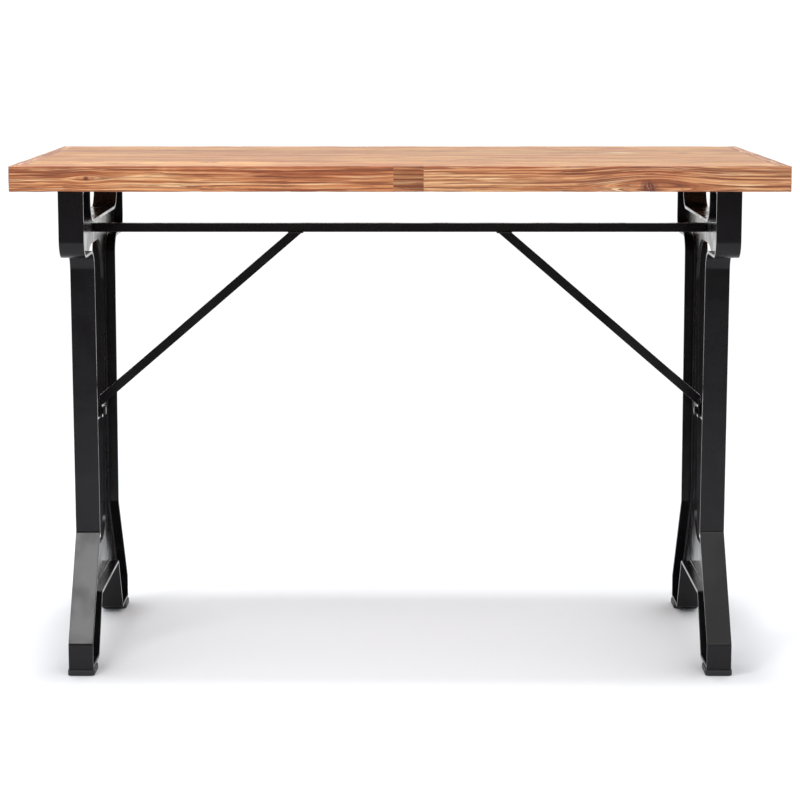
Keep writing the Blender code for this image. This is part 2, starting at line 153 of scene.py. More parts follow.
class Sheet:
    """A node tree that is being drawn."""

    def __init__(self, tree):
        self.tree = tree

    def add(self, kind, settings=None, inputs=None, output=0):
        node = self.tree.nodes.new(kind)
        for name, value in (settings or {}).items():
            setattr(node, name, value)
        for key, value in (inputs or {}).items():
            socket = node.inputs[key]
            if isinstance(value, Wire):
                self.tree.links.new(value.socket, socket)
            elif socket.type == "RGBA" and len(value) == 3:
                socket.default_value = (*value, 1)
            else:
                socket.default_value = value
        return Wire(self, node.outputs[output]) if node.outputs else None

    def maths(self, operation, *values):
        return self.add("ShaderNodeMath", {"operation": operation}, dict(enumerate(values)))

    def vector(self, operation, *values, output=0):
        return self.add("ShaderNodeVectorMath", {"operation": operation}, dict(enumerate(values)), output)

    def point(self, x, y, z):
        return self.add("ShaderNodeCombineXYZ", inputs={0: x, 1: y, 2: z})

    def split(self, vector):
        x = self.add("ShaderNodeSeparateXYZ", inputs={0: vector})
        return x, x.other(1), x.other(2)

    def noise(self, vector, scale, detail=2.0, roughness=0.5, stretch=(1, 1, 1)):
        """Smooth noise from 0 to 1, about 0.5 on average."""
        place = self.vector("MULTIPLY", vector, tuple(scale * share for share in stretch))
        return self.add("ShaderNodeTexNoise", inputs={
            "Vector": place, "Scale": 1.0, "Detail": detail, "Roughness": roughness,
        })

    def ease(self, value, low, high):
        """0 below low, 1 above high, and an S-curve between."""
        settings = {"interpolation_type": "SMOOTHSTEP"}
        return self.add("ShaderNodeMapRange", settings, {0: value, 1: low, 2: high})

    def blend(self, factor, first, second, blend_type="MIX"):
        """The first colour at factor 0, the second at factor 1."""
        settings = {"data_type": "RGBA", "blend_type": blend_type}
        return self.add("ShaderNodeMix", settings, {0: factor, 6: first, 7: second}, output=2)

    def shade(self, colour, share):
        """A colour with each of its channels multiplied by that of another."""
        return self.blend(1.0, colour, share, "MULTIPLY")


print("node helpers: Wire, Sheet")

# %% [markdown]
# ## Finishes
# Each finish ends the same way: a colour, a roughness and a relief. Reliefs are heights in
# millimetres, because that is how one thinks of orange peel or of raised grain.

# %% Finish helpers
MILLIMETRE = 0.001


def start_finish(name):
    material = bpy.data.materials.new(name)
    material.use_nodes = True
    material.node_tree.nodes.clear()
    sheet = Sheet(material.node_tree)
    place = sheet.add("ShaderNodeTexCoord", output="Object")
    return material, sheet, place


def end_finish(sheet, colour, roughness, relief, metallic=0.0, ior=1.5):
    normal = sheet.add("ShaderNodeBump", inputs={
        "Strength": 1.0, "Distance": MILLIMETRE, "Height": relief,
    })
    shader = sheet.add("ShaderNodeBsdfPrincipled", inputs={
        "Base Color": colour, "Roughness": roughness, "Metallic": metallic, "IOR": ior,
        "Normal": normal,
    })
    sheet.add("ShaderNodeOutputMaterial", inputs={"Surface": shader})


# %% [markdown]
# ## Black paint
# The stand is sprayed with black powder and baked. Baked powder is glossy but never flat: it has a
# fine orange peel, and the rolled steel under it waves a little, which bends the long reflections.
# On an arris the powder pulls thin, so a little grey primer shows there, and the same grey is a
# painted highlight that draws a thin bright line along each edge. The pieces carry a value named
# arris, from 0 on a flat to 1 along a rounded edge, that tells the paint where that is.

# %% Black paint
POWDER = ((0.0060, 0.0051, 0.0060), (0.0092, 0.0079, 0.0092))
GRIT_GREY = (0.030, 0.029, 0.030)
# worn-through primer, and also a painted highlight along the edges
PRIMER_AND_HIGHLIGHT_GREY = (0.050, 0.048, 0.047)
PEEL_DEPTH, GRIT_DEPTH, WAVE_DEPTH = 0.016, 0.012, 0.45      # in millimetres
POWDER_IOR = 1.31


def make_black_paint():
    material, sheet, place = start_finish("black_powder_paint")
    arris = sheet.add("ShaderNodeAttribute", {"attribute_name": "arris"}, output="Fac")
    cloud = sheet.noise(place, 11, 4, 0.6)
    peel = sheet.noise(place, 420, 1.5)
    grit = sheet.ease(sheet.noise(place, 900, 1), 0.70, 0.80)
    wave = sheet.noise(place, 17, 3, 0.5)
    rubbed = arris * sheet.ease(sheet.noise(place, 70, 3), 0.40, 0.68)
    black = sheet.blend(cloud, *POWDER)
    black = sheet.blend(grit * 0.35, black, GRIT_GREY)
    # greyer along the arrises: partly thin powder, partly a painted highlight line on each edge
    colour = sheet.blend(rubbed * 0.75, black, PRIMER_AND_HIGHLIGHT_GREY)
    roughness = 0.12 + sheet.ease(cloud, 0.35, 0.65) * 0.16 + rubbed * 0.12 + grit * 0.1
    relief = peel * PEEL_DEPTH + grit * GRIT_DEPTH + wave * WAVE_DEPTH
    end_finish(sheet, colour, roughness, relief, ior=POWDER_IOR)
    return material


black_paint = make_black_paint()
print("finish:", black_paint.name, len(black_paint.node_tree.nodes), "nodes")


# %% [markdown]
# ## Moulded plastic and blackened steel
# The glides under the feet are injection moulded with a spark-eroded texture, so they are duller
# than the paint. The bolts, nuts and screws are steel with a thin black oxide: dark, metallic, and
# rubbed a little brighter where a spanner has held them.

# %% Plastic and fastener finishes
PLASTIC = ((0.012, 0.012, 0.013), (0.020, 0.020, 0.021))
SCUFFED_PLASTIC = (0.060, 0.059, 0.058)
OXIDE, RUBBED_OXIDE = (0.022, 0.021, 0.022), (0.085, 0.080, 0.076)
PITTED_OXIDE = (0.010, 0.009, 0.009)


def make_black_plastic():
    material, sheet, place = start_finish("black_moulded_plastic")
    arris = sheet.add("ShaderNodeAttribute", {"attribute_name": "arris"}, output="Fac")
    spark = sheet.noise(place, 1300, 2, 0.7)
    cloud = sheet.noise(place, 30, 3)
    scuffs = sheet.ease(sheet.noise(place, 160, 2, stretch=(0.2, 1, 1)), 0.58, 0.72)
    colour = sheet.blend(cloud, *PLASTIC)
    colour = sheet.blend(scuffs * 0.3 + arris * 0.25, colour, SCUFFED_PLASTIC)
    roughness = 0.46 + spark * 0.16 + scuffs * 0.1
    end_finish(sheet, colour, roughness, spark * 0.03 - scuffs * 0.02, ior=1.46)
    return material


def make_black_oxide():
    material, sheet, place = start_finish("black_oxide_steel")
    pits = sheet.ease(sheet.noise(place, 1500, 2), 0.60, 0.78)
    rubbed = sheet.ease(sheet.noise(place, 240, 3), 0.50, 0.72)
    colour = sheet.blend(rubbed, OXIDE, RUBBED_OXIDE)
    colour = sheet.blend(pits, colour, PITTED_OXIDE)
    roughness = 0.34 + pits * 0.25 + rubbed * 0.08
    end_finish(sheet, colour, roughness, rubbed * 0.01 - pits * 0.02, metallic=0.85)
    return material


black_plastic = make_black_plastic()
black_oxide = make_black_oxide()
print("finishes:", black_plastic.name, black_oxide.name)


# %% [markdown]
# ## Fir, cut from a log
# A board shows the rings of the log that it was sawn from. So the finish is a log: it measures how
# far each point is from the log's heart, divides by the width of one year's ring, and darkens
# towards the end of each year. Because it is solid, the grain runs on round every corner. The
# heart wanders a little from end to end, which draws the long flames on a flat face.
#
# Everything finer is a layer of noise that is stretched along the grain: the fibres, the darker
# streaks and lines of late wood, the paler shine of early wood, and the flecks of open pores.

# %% Colours and layers of fir
SPOT_WOOD = (0.95, 0.82, 0.66)
PALE_WOOD = (0.95, 0.66, 0.38)
EARLY_WOOD = ((0.86, 0.47, 0.220), (0.74, 0.330, 0.140))
LATE_WOOD = ((0.40, 0.130, 0.045), (0.30, 0.080, 0.030))
LINE_WOOD = (0.23, 0.068, 0.027)
FLECK_WOOD = (0.16, 0.055, 0.030)
# darker arris colour: some wear, and painted shade along the lower edges
WORN_AND_SHADED_WOOD = (0.20, 0.070, 0.034)
GREY_WOOD = (0.55, 0.350, 0.215)
KNOT_WOOD = ((0.46, 0.165, 0.085), (0.115, 0.032, 0.024))
KNOT_RIM_WOOD = (0.19, 0.056, 0.032)
HEARTWOOD = (0.84, 0.70, 0.66)      # the redder side of a board, as a share of its colour
RUDDY = (0.84, 0.72, 0.70)          # broad patches, likewise

GRAIN_LAYERS = {      # detail, roughness, and waves a metre along, in from the face and up
    "wander": (2, 0.5, (1.6, 3, 3)),
    "weave": (2, 0.6, (7, 26, 26)),
    "drift": (1, 0.5, (0.8, 14, 14)),
    "fibre": (3, 0.65, (14, 420, 420)),
    "streak": (3, 0.7, (5, 205, 205)),
    "lines": (1, 0.5, (7, 400, 400)),
    "shine": (2, 0.6, (7, 170, 170)),
    "fleck": (1, 0.5, (18, 520, 520)),
    "patch": (3, 0.55, (3.4, 20, 20)),
    "grey": (2, 0.5, (1.9, 22, 22)),
    "rays": (2, 0.6, (330, 90, 90)),
    "tone": (2, 0.5, (2.4, 9, 9)),
    "rubbed": (2, 0.5, (13, 40, 40)),
}


def layer(sheet, lookup, name):
    detail, roughness, waves = GRAIN_LAYERS[name]
    return sheet.noise(lookup, 1, detail, roughness, waves)


def board_place(sheet, place, board):
    """A point in the board's own frame: along the grain, in from its face, and up."""
    back = Matrix.Rotation(-board["turn"], 3, "Z")
    return sheet.add("ShaderNodeMapping", inputs={
        "Vector": place, "Rotation": (0, 0, -board["turn"]), "Location": -(back @ board["centre"]),
    })


print("fir:", len(GRAIN_LAYERS), "layers of grain")

# %% [markdown]
# ### Knots
# Where a branch grew, the rings bulge round it. `push` says how far the grain is moved sideways
# near a knot, so that the lines part and close again, and the knot has rays and a dark rim of its
# own. Distances from a knot are in its own radii, so a small knot is a small copy of a large one.

# %% Knots
KNOT_REACH = 9.0      # length of the bulge along the grain, in knot radii
KNOT_FLARE = 3.8      # height of the bulge across the grain, in knot radii
KNOT_PUSH = 2.4       # how far the grain is pushed aside, in knot radii
KNOT_SHARPNESS = 0.35      # how quickly the push changes side at the middle of a knot
KNOT_STRETCH = 1.3         # a knot's length over its height
NO_KNOT = 9.0              # a distance that is past every knot


def knot_fields(sheet, along, across, ripple, knots):
    """How far the grain is pushed, a mask of the knots, and how far off the nearest one is."""
    push, inside, radial = 0.0, 0.0, NO_KNOT
    for knot_along, knot_across, radius in knots:
        run = along - knot_along
        rise = across - knot_across
        swell = sheet.maths("EXPONENT", (run / (KNOT_REACH * radius)) ** 2 * -1)
        fall = sheet.maths("EXPONENT", abs(rise) / (-KNOT_FLARE * radius))
        side = rise / (abs(rise) + KNOT_SHARPNESS * radius)
        push = side * swell * fall * (KNOT_PUSH * radius) + push
        reach = sheet.maths("SQRT", (run / KNOT_STRETCH) ** 2 + rise ** 2) / radius
        reach = reach + (ripple - 0.5) * 1.1
        inside = sheet.maths("MAXIMUM", inside, 1 - sheet.ease(reach, 0.72, 1.05))
        radial = sheet.maths("MINIMUM", radial, reach)
    return push, inside, radial


def paint_knots(sheet, lookup, colour, knot, radial):
    rays = layer(sheet, lookup, "rays")
    knot_colour = sheet.blend(sheet.ease(rays + radial * 0.15, 0.44, 0.60), *KNOT_WOOD)
    rim = sheet.ease(radial, 0.70, 1.0) * (1 - sheet.ease(radial, 1.0, 1.5))
    colour = sheet.blend(knot * 0.9, colour, knot_colour)
    return sheet.blend(rim * 0.55, colour, KNOT_RIM_WOOD)


print("knots: the grain bulges", KNOT_PUSH, "radii")

# %% [markdown]
# ### The year's rings
# The rings are measured from the log's heart, which lies outside most boards. `year` is a chance
# value of each ring, so that some summers were longer and left a darker line.

# %% Rings of the year
RING_WIDTH = 0.0048        # one year's growth, where a board doesn't say otherwise
YEAR_DRIFT = 2.2           # how unevenly the tree grew, in rings
WEAVE_WIDTH = 0.004        # how far the rings waver, in metres


def late_wood(sheet, lookup, across, deep, board):
    """How far into its summer each point grew, from 0 to 1."""
    wander = layer(sheet, lookup, "wander")
    weave = layer(sheet, lookup, "weave")
    heart_across, heart_deep = board["heart"]
    sideways = across - heart_across + (wander - 0.5) * board["wander"] + (weave - 0.5) * WEAVE_WIDTH
    upwards = deep - heart_deep + (0.5 - wander) * board["wander"]
    years = sheet.maths("SQRT", sideways ** 2 + upwards ** 2) / board["ring"]
    years = years + (layer(sheet, lookup, "drift") - 0.5) * YEAR_DRIFT
    season = sheet.maths("FRACT", years)
    year = sheet.add("ShaderNodeTexWhiteNoise", {"noise_dimensions": "1D"}, {
        "W": sheet.maths("FLOOR", years) + board["seed"],
    })
    summer = sheet.ease(season, 0.22, 0.84) * (1 - sheet.ease(season, 0.90, 1.0))
    return summer * (0.30 + year * 0.70)


print("rings:", RING_WIDTH * 1000, "mm each on most boards")

# %% [markdown]
# ### The finish of one board
# Long edge boards are glued up from shorter lengths. `joints` says where, each length is looked up
# in its own stretch of the log, and `length_tints` gives it a shade of its own. A board may also
# have a redder side, ruddy patches and a pale spot, and always a darker line along its corners:
# a little wear, and painted shade, such as the dark lower edge of the front board.

# %% Fir finish
LOG_SHIFT = 9              # how far apart two boards may lie in the log, in metres
LENGTH_SHIFT = 1.7         # how far apart two glued lengths lie


def make_fir(name, board):
    material, sheet, place = start_finish(name)
    chance = random.Random(board["seed"])
    shift = Vector([chance.uniform(-LOG_SHIFT, LOG_SHIFT) for _ in range(3)])
    own = board_place(sheet, place, board)
    along, inward, up = sheet.split(own)
    across, deep = (up, inward) if board["face"] == "front" else (inward, up)
    length_number = 0.0
    for joint in board["joints"]:
        length_number = (along > joint) + length_number
    lookup = sheet.vector("ADD", own, tuple(shift))
    if board["joints"]:
        lookup = sheet.vector("ADD", lookup, sheet.point(length_number * LENGTH_SHIFT, 0.0, 0.0))

    ripple = sheet.noise(lookup, 70, 2)
    push, knot, radial = knot_fields(sheet, along, across, ripple, board["knots"])
    if board["knots"]:
        aside = (0.0, 0.0, push * -1) if board["face"] == "front" else (0.0, push * -1, 0.0)
        lookup = sheet.vector("ADD", lookup, sheet.point(*aside))
    late = late_wood(sheet, lookup, across - push, deep, board)
    fibre, streak, lines, shine, patch = (
        layer(sheet, lookup, name) for name in ("fibre", "streak", "lines", "shine", "patch")
    )
    fleck = sheet.ease(layer(sheet, lookup, "fleck"), 0.62, 0.70)
    grey = sheet.ease(layer(sheet, lookup, "grey"), 0.52, 0.78)

    warm = sheet.ease(patch, 0.38, 0.62)
    early = sheet.blend(warm, *EARLY_WOOD)
    early = sheet.blend(grey * board["grey"], early, GREY_WOOD)
    early = sheet.blend(sheet.ease(shine, 0.48, 0.62) * 0.8, early, PALE_WOOD)
    dark = sheet.blend(warm, *LATE_WOOD)
    colour = sheet.blend(late * board["contrast"], early, dark)
    colour = sheet.blend(sheet.ease(streak, 0.49, 0.59) * board["streaks"], colour, dark)
    colour = sheet.blend(sheet.ease(fibre, 0.52, 0.62) * 0.42, colour, dark)
    colour = sheet.blend(sheet.ease(lines, 0.565, 0.60) * board["streaks"], colour, LINE_WOOD)
    colour = sheet.blend(fleck * 0.6, colour, FLECK_WOOD)
    colour = paint_knots(sheet, lookup, colour, knot, radial)
    for spot_along, spot_across, length, width in board["pale_spots"]:
        run, rise = (along - spot_along) / length, (across - spot_across) / width
        spread = sheet.maths("SQRT", run ** 2 + rise ** 2) + (ripple - 0.5) * 1.2 + (streak - 0.5) * 3
        colour = sheet.blend((1 - sheet.ease(spread, 0.30, 1.5)) * 0.70, colour, SPOT_WOOD)
    colour = sheet.shade(colour, board["tint"])
    tone = sheet.ease(layer(sheet, lookup, "tone"), 0.44, 0.64) * board["patchy"]
    colour = sheet.blend(tone, colour, sheet.shade(colour, RUDDY))
    heartwood = sheet.ease(up + (patch - 0.5) * 0.05, -0.002, 0.014) * board["heartwood"]
    colour = sheet.blend(heartwood, colour, sheet.shade(colour, HEARTWOOD))
    for number, tint in board["length_tints"].items():
        this_length = sheet.maths("COMPARE", length_number, number, 0.5)
        colour = sheet.blend(this_length, colour, sheet.shade(colour, tint))
    depth, height = board["size"].yz
    corner = sheet.maths("MAXIMUM", depth / 2 - abs(inward), height / 2 - abs(up))
    arris = 1 - sheet.ease(corner, board["ease"] * 0.3, board["ease"] * 1.8)
    rubbed = sheet.ease(layer(sheet, lookup, "rubbed"), 0.40, 0.62)
    # darker along every arris: partly wear, partly painted shade, as on the front board's lower edge
    colour = sheet.blend(arris * (0.2 + rubbed * 0.6), colour, WORN_AND_SHADED_WOOD)

    roughness = 0.50 + fibre * 0.16 - late * 0.08 - knot * 0.10
    relief = late * 0.05 + fibre * 0.07 + streak * 0.04 - fleck * 0.09 + knot * 0.06
    end_finish(sheet, colour, roughness, relief, ior=1.45)
    return material


print("finish: make_fir, one call for each board")

# %% [markdown]
# ## Growing pieces with Geometry Nodes
# A tree of Geometry Nodes is a recipe with named inputs. `Recipe` makes the tree and its inputs,
# and `grow` runs it once: it hangs the recipe on an object, sets each input by its socket's
# identifier, reads the finished mesh back and throws the modifier away.

# %% Recipes
SOCKET_KINDS = {
    "geometry": "NodeSocketGeometry", "number": "NodeSocketFloat", "whole": "NodeSocketInt",
    "vector": "NodeSocketVector", "material": "NodeSocketMaterial", "object": "NodeSocketObject",
}


class Recipe(Sheet):
    """A Geometry Nodes tree with named inputs."""

    def __init__(self, name, **inputs):
        super().__init__(bpy.data.node_groups.new(name, "GeometryNodeTree"))
        face = self.tree.interface
        for label, kind in {"Geometry": "geometry", **inputs}.items():
            face.new_socket(label, in_out="INPUT", socket_type=SOCKET_KINDS[kind])
        face.new_socket("Geometry", in_out="OUTPUT", socket_type=SOCKET_KINDS["geometry"])
        self.given = self.add("NodeGroupInput")

    def take(self, label):
        return self.given.other(label)

    def serve(self, geometry, material):
        """End the recipe: no instances left, one finish, smooth faces."""
        whole = self.add("GeometryNodeRealizeInstances", inputs={0: geometry})
        smooth = self.add("GeometryNodeSetShadeSmooth", inputs={0: whole})
        finished = self.add("GeometryNodeSetMaterial", inputs={"Geometry": smooth, "Material": material})
        self.add("NodeGroupOutput", inputs={0: finished})


def evaluated_mesh(piece):
    """The piece's mesh with its modifiers worked in."""
    bpy.context.view_layer.update()
    graph = bpy.context.evaluated_depsgraph_get()
    return bpy.data.meshes.new_from_object(
        piece.evaluated_get(graph), preserve_all_data_layers=True, depsgraph=graph
    )


def grow(name, recipe, start, sharp=40, **values):
    """Run a recipe on a mesh and return the result as an object with a plain mesh."""
    made = add_object(name, start)
    modifier = made.modifiers.new("recipe", "NODES")
    modifier.node_group = recipe.tree
    for item in recipe.tree.interface.items_tree:
        if item.in_out == "INPUT" and item.name in values:
            modifier[item.identifier] = values[item.name]
    mesh = evaluated_mesh(made)
    made.modifiers.clear()
    made.data = mesh
    mesh.name = name
    mesh.set_sharp_from_angle(angle=math.radians(sharp))      # sharp is in degrees
    return made


def even_normals(piece):
    """Let the widest face round each point decide its normal, so that flats shade flat."""
    even = piece.modifiers.new("even", "WEIGHTED_NORMAL")
    even.weight = 100
    even.keep_sharp = True
    piece.data = evaluated_mesh(piece)
    piece.modifiers.clear()


def settle(piece, slot, *replaced):
    """Put a finished piece on the table: it rides on the body and stands for its solids."""
    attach(piece, "root")
    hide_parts(*replaced)
    print(f"{piece.name}: {len(piece.data.polygons)} faces, for {', '.join(replaced)}")


# %% [markdown]
# ## The boards
# Every board of the top follows one rule, so one recipe makes all twelve. It sweeps a rectangle
# with eased corners along the board's length, wears the arrises down by an uneven amount, as
# handling and sanding do, and then shears the ends inwards where they are mitred. `nibble` is how
# much each stretch of an arris has lost, and `sag` is the much smaller dip that sanding leaves in
# a flat. Neither moves a point along the board, so the mitres stay closed.

# %% Board recipe
def make_board_recipe():
    recipe = Recipe(
        "eased_board", Size="vector", Centre="vector", Turn="number", Mitred="number", Ease="number",
        Wear="number", Step="number", Seed="number", Wood="material",
    )
    length, depth, height = recipe.split(recipe.take("Size"))
    line = recipe.add("GeometryNodeCurvePrimitiveLine", inputs={
        "Start": recipe.point(length * -0.5, 0.0, 0.0), "End": recipe.point(length * 0.5, 0.0, 0.0),
    })
    line = recipe.add("GeometryNodeResampleCurve", {"mode": "LENGTH"}, {
        "Curve": line, "Length": recipe.take("Step"),
    })
    outline = recipe.add("GeometryNodeCurvePrimitiveQuadrilateral", inputs={
        "Width": depth, "Height": height,
    })
    outline = recipe.add("GeometryNodeFilletCurve", {"mode": "POLY"}, {
        "Curve": outline, "Count": 3, "Radius": recipe.take("Ease"), "Limit Radius": True,
    })
    outline = recipe.add("GeometryNodeSubdivideCurve", inputs={"Curve": outline, "Cuts": 1})
    swept = recipe.add("GeometryNodeCurveToMesh", inputs={
        "Curve": line, "Profile Curve": outline, "Fill Caps": True,
    })

    place = recipe.add("GeometryNodeInputPosition")
    x, y, z = recipe.split(place)
    corner = recipe.maths("MAXIMUM", depth * 0.5 - abs(y), height * 0.5 - abs(z))
    ease = recipe.take("Ease")
    arris = 1 - recipe.ease(corner, ease * 0.6, ease * 2.4)
    lookup = recipe.vector("ADD", place, recipe.point(recipe.take("Seed"), 0.0, 0.0))
    nibble = recipe.ease(recipe.noise(lookup, 1, 3, 0.6, stretch=(22, 40, 40)), 0.42, 0.80)
    sag = recipe.noise(lookup, 1, 2, stretch=(5, 18, 18))
    inwards = (arris * nibble + 0.15 * sag) * recipe.take("Wear") * -1
    normal = recipe.add("GeometryNodeInputNormal")
    worn = recipe.add("GeometryNodeSetPosition", inputs={
        "Geometry": swept,
        "Offset": recipe.vector("MULTIPLY", normal, recipe.point(0.0, inwards, inwards)),
    })
    inward = y + depth * 0.5
    mitred = recipe.add("GeometryNodeSetPosition", inputs={
        "Geometry": worn,
        "Position": recipe.point(x * (1 - recipe.take("Mitred") * inward / (length * 0.5)), y, z),
    })
    placed = recipe.add("GeometryNodeTransform", inputs={
        "Geometry": mitred, "Translation": recipe.take("Centre"),
        "Rotation": recipe.point(0.0, 0.0, recipe.take("Turn")),
    })
    recipe.serve(placed, recipe.take("Wood"))
    return recipe


board_recipe = make_board_recipe()
print("recipe:", board_recipe.tree.name, len(board_recipe.tree.nodes), "nodes")

# %% [markdown]
# ## Which board is which
# A board's length, depth and height come from its solid's box. Its turn says which way its outer
# face looks: the front board looks at the viewer, and the others are turned round from it. The
# heart is where the middle of the log was, across the board and below or behind it.
#
# A knot is its place along and across the board and its radius. A pale spot is its place, length
# and width. All are in metres from the board's middle. `contrast`, `streaks`, `patchy`, `grey` and
# `heartwood` are shares, from 0 to 1, that say how strongly the finish shows each of these.

# %% Boards of the top
QUARTER = math.pi / 2
BOARD_STEP = 0.004      # how close the rings of points lie along a board
WHITE = (1.0, 1.0, 1.0)


def board_of(node, turn, seed, face="front", heart=(-0.11, 0.03), ring=RING_WIDTH, **more):
    low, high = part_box(node)
    span = high - low
    size = Vector((span.y, span.x, span.z)) if abs(math.sin(turn)) > 0.5 else span
    board = {
        "node": node, "turn": turn, "seed": seed, "face": face, "heart": heart, "ring": ring,
        "centre": (low + high) / 2, "size": size, "knots": [], "joints": [], "tint": WHITE,
        "length_tints": {}, "pale_spots": [], "heartwood": 0.0, "patchy": 0.6, "grey": 0.45,
        "contrast": 1.0, "streaks": 0.86, "wander": 0.030, "mitred": 0.0, "ease": 0.0010, "wear": 0.0009,
    }
    board.update(more)
    return board


def make_board(name, board, slot):
    wood = make_fir(f"fir_{name}", board)
    start = bpy.data.meshes.new(name)
    piece = grow(
        name, board_recipe, start, Size=board["size"], Centre=board["centre"], Turn=board["turn"],
        Mitred=board["mitred"], Ease=board["ease"], Wear=board["wear"], Step=BOARD_STEP,
        Seed=float(board["seed"]), Wood=wood,
    )
    even_normals(piece)
    settle(piece, slot, board["node"])


edge_boards = {
    "front_edge_board": board_of(
        "edge_board_front", 0.0, 11, mitred=1.0, joints=(-0.0105, 0.0368), wander=0.018,
        knots=((0.389, -0.013, 0.0086), (-0.489, 0.001, 0.0030)),
        length_tints={0: (0.94, 0.90, 0.86), 1: (0.70, 0.63, 0.58), 2: (1.03, 1.08, 1.12)},
        heartwood=0.95, patchy=0.3,
    ),
    "back_edge_board": board_of(
        "edge_board_back", math.pi, 12, mitred=1.0, joints=(0.17,), knots=((-0.22, 0.006, 0.006),),
    ),
    "left_edge_board": board_of(
        "edge_board_left", -QUARTER, 13, mitred=1.0, tint=(0.74, 0.76, 0.78), grey=0.8,
    ),
    "right_edge_board": board_of(
        "edge_board_right", QUARTER, 14, mitred=1.0, tint=(0.72, 0.75, 0.77), grey=0.8,
        knots=((0.09, -0.004, 0.005),),
    ),
}
for name, board in edge_boards.items():
    make_board(name, board, "fir_edge")

# %% [markdown]
# ## Planks and battens
# The planks are flat sawn: the heart lay below each of them, so their faces show flames and round
# knots. Their numbers are drawn from a fixed seed, within what fir gives. Plank 4 has a small pale
# spot near one end. The battens are plain underlay, from straighter and darker stock.

# %% Planks and battens
plank_chance = random.Random(122)
plank_nodes = sorted(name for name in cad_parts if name.startswith("top_plank_"))
for number, node in enumerate(plank_nodes, 1):
    low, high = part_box(node)
    half = (high - low) / 2
    knots = [
        (plank_chance.uniform(-0.9, 0.9) * half.x, plank_chance.uniform(-0.7, 0.7) * half.y,
         plank_chance.uniform(0.005, 0.011))
        for _ in range(plank_chance.choice((1, 2, 2)))
    ]
    shade = plank_chance.uniform(0.68, 0.86)
    board = board_of(
        node, 0.0 if number % 2 else math.pi, 20 + number, face="top",
        heart=(plank_chance.uniform(-0.03, 0.03), -plank_chance.uniform(0.035, 0.10)),
        ring=plank_chance.uniform(0.0034, 0.0046), knots=knots, tint=(shade, shade, shade * 0.74),
        contrast=0.95, streaks=0.75, patchy=1.0, ease=0.0012, wear=0.0006,
        pale_spots=[(-0.378, 0.028, 0.028, 0.020)] if number == 4 else [],
    )
    make_board(f"plank_{number}", board, "fir_top")
for number, side in enumerate(("left", "middle", "right")):
    board = board_of(
        f"batten_{side}", QUARTER, 40 + number, face="top", heart=(0.05, -0.09), tint=(0.84, 0.80, 0.76),
        ease=0.0014, wear=0.0008,
    )
    make_board(f"{side}_batten", board, "fir_edge")

# %% [markdown]
# ## Steel with eased edges
# Flat bar and sheared plate never have a razor edge, least of all under powder. Each steel piece
# starts as a copy of its solid, merged into clean flats. A Bevel rounds its edges, and weighted
# normals keep the flats looking flat. The bevel's faces are told apart by a second material slot
# for a moment, which is how the arris value is found.

# %% Eased copies
EASE_SEGMENTS = 3
EASED_ABOVE = math.radians(35)      # a shallower edge belongs to a curve and stays as it is
SAME_FLAT = math.radians(1)
SAME_POINT = 1e-6
STEEL_EASES = {
    "web_plate": 0.0009, "front_band": 0.0009, "rear_band": 0.0009, "notch_band": 0.0009,
    "arch_band": 0.0009, "front_mount_plate": 0.0006, "rear_mount_plate": 0.0006,
    "cross_tie": 0.0006, "brace": 0.0011,
}
BAR_EASE = 0.0011
GLIDE_EASE = 0.0012


def merged_solid(node):
    """A solid's loose triangles, joined where their corners meet."""
    work = bmesh.new()
    work.from_mesh(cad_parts[node].data)
    bmesh.ops.remove_doubles(work, verts=work.verts, dist=SAME_POINT)
    return work


def mesh_of(work, name):
    """Turn the working mesh into one that an object can hold."""
    mesh = bpy.data.meshes.new(name)
    work.to_mesh(mesh)
    work.free()
    return mesh


def clean_copy(node):
    """The solid's triangles merged into flats, as a new mesh."""
    work = merged_solid(node)
    bmesh.ops.dissolve_limit(work, angle_limit=SAME_FLAT, verts=work.verts, edges=work.edges)
    for face in work.faces:
        face.smooth = True
        face.material_index = 0
    return mesh_of(work, node)


def mark_arrises(mesh):
    """Set arris to 1 on points with nothing but rounded faces round them."""
    rounded = [True] * len(mesh.vertices)
    for face in mesh.polygons:
        if face.material_index == 0:
            for i in face.vertices:
                rounded[i] = False
        face.material_index = 0
    values = mesh.attributes.new("arris", "FLOAT", "POINT")
    values.data.foreach_set("value", [float(x) for x in rounded])


def eased_copy(name, node, ease, finish):
    piece = add_object(name, clean_copy(node))
    piece.data.materials.clear()
    for _ in ("flats", "rounded edges"):
        piece.data.materials.append(finish)
    bevel = piece.modifiers.new("ease", "BEVEL")
    bevel.width = ease
    bevel.segments = EASE_SEGMENTS
    bevel.limit_method = "ANGLE"
    bevel.angle_limit = EASED_ABOVE
    bevel.material = 1
    piece.data = evaluated_mesh(piece)
    piece.modifiers.clear()
    mark_arrises(piece.data)
    piece.data.materials.pop(index=1)
    even_normals(piece)
    return piece


for side in ("left", "right"):
    for part, ease in STEEL_EASES.items():
        node = f"{side}_{part}"
        settle(eased_copy(f"{part}_{side}", node, ease, black_paint), "black_paint", node)
    for end in ("front", "rear"):
        node = f"{side}_{end}_foot_pad"
        glide = eased_copy(f"{end}_glide_{side}", node, GLIDE_EASE, black_plastic)
        settle(glide, "black_plastic", node)
settle(eased_copy("frame_bar", "stretcher_bar", BAR_EASE, black_paint), "black_paint", "stretcher_bar")

# %% [markdown]
# ## Welds
# The web, its bands and the mounting plates are one welding. A weld runs wherever two of them meet,
# so its path is the rim of the web plate, taken from the solid itself. The tie's ends are welded to
# the web on three sides, and a brace all round its top end, under the bar. The recipe sweeps a
# round bead along each path and lets it swell and shrink in steps, the way a weld pool freezes in
# overlapping scales. `unsteady` is the welder's hand. Half of the bead is buried in the corner.

# %% Rims and lines to weld along
SAME_WAY = 0.999        # cosine between a flat's normal and the way that it should look
SAME_LEVEL = 1e-4


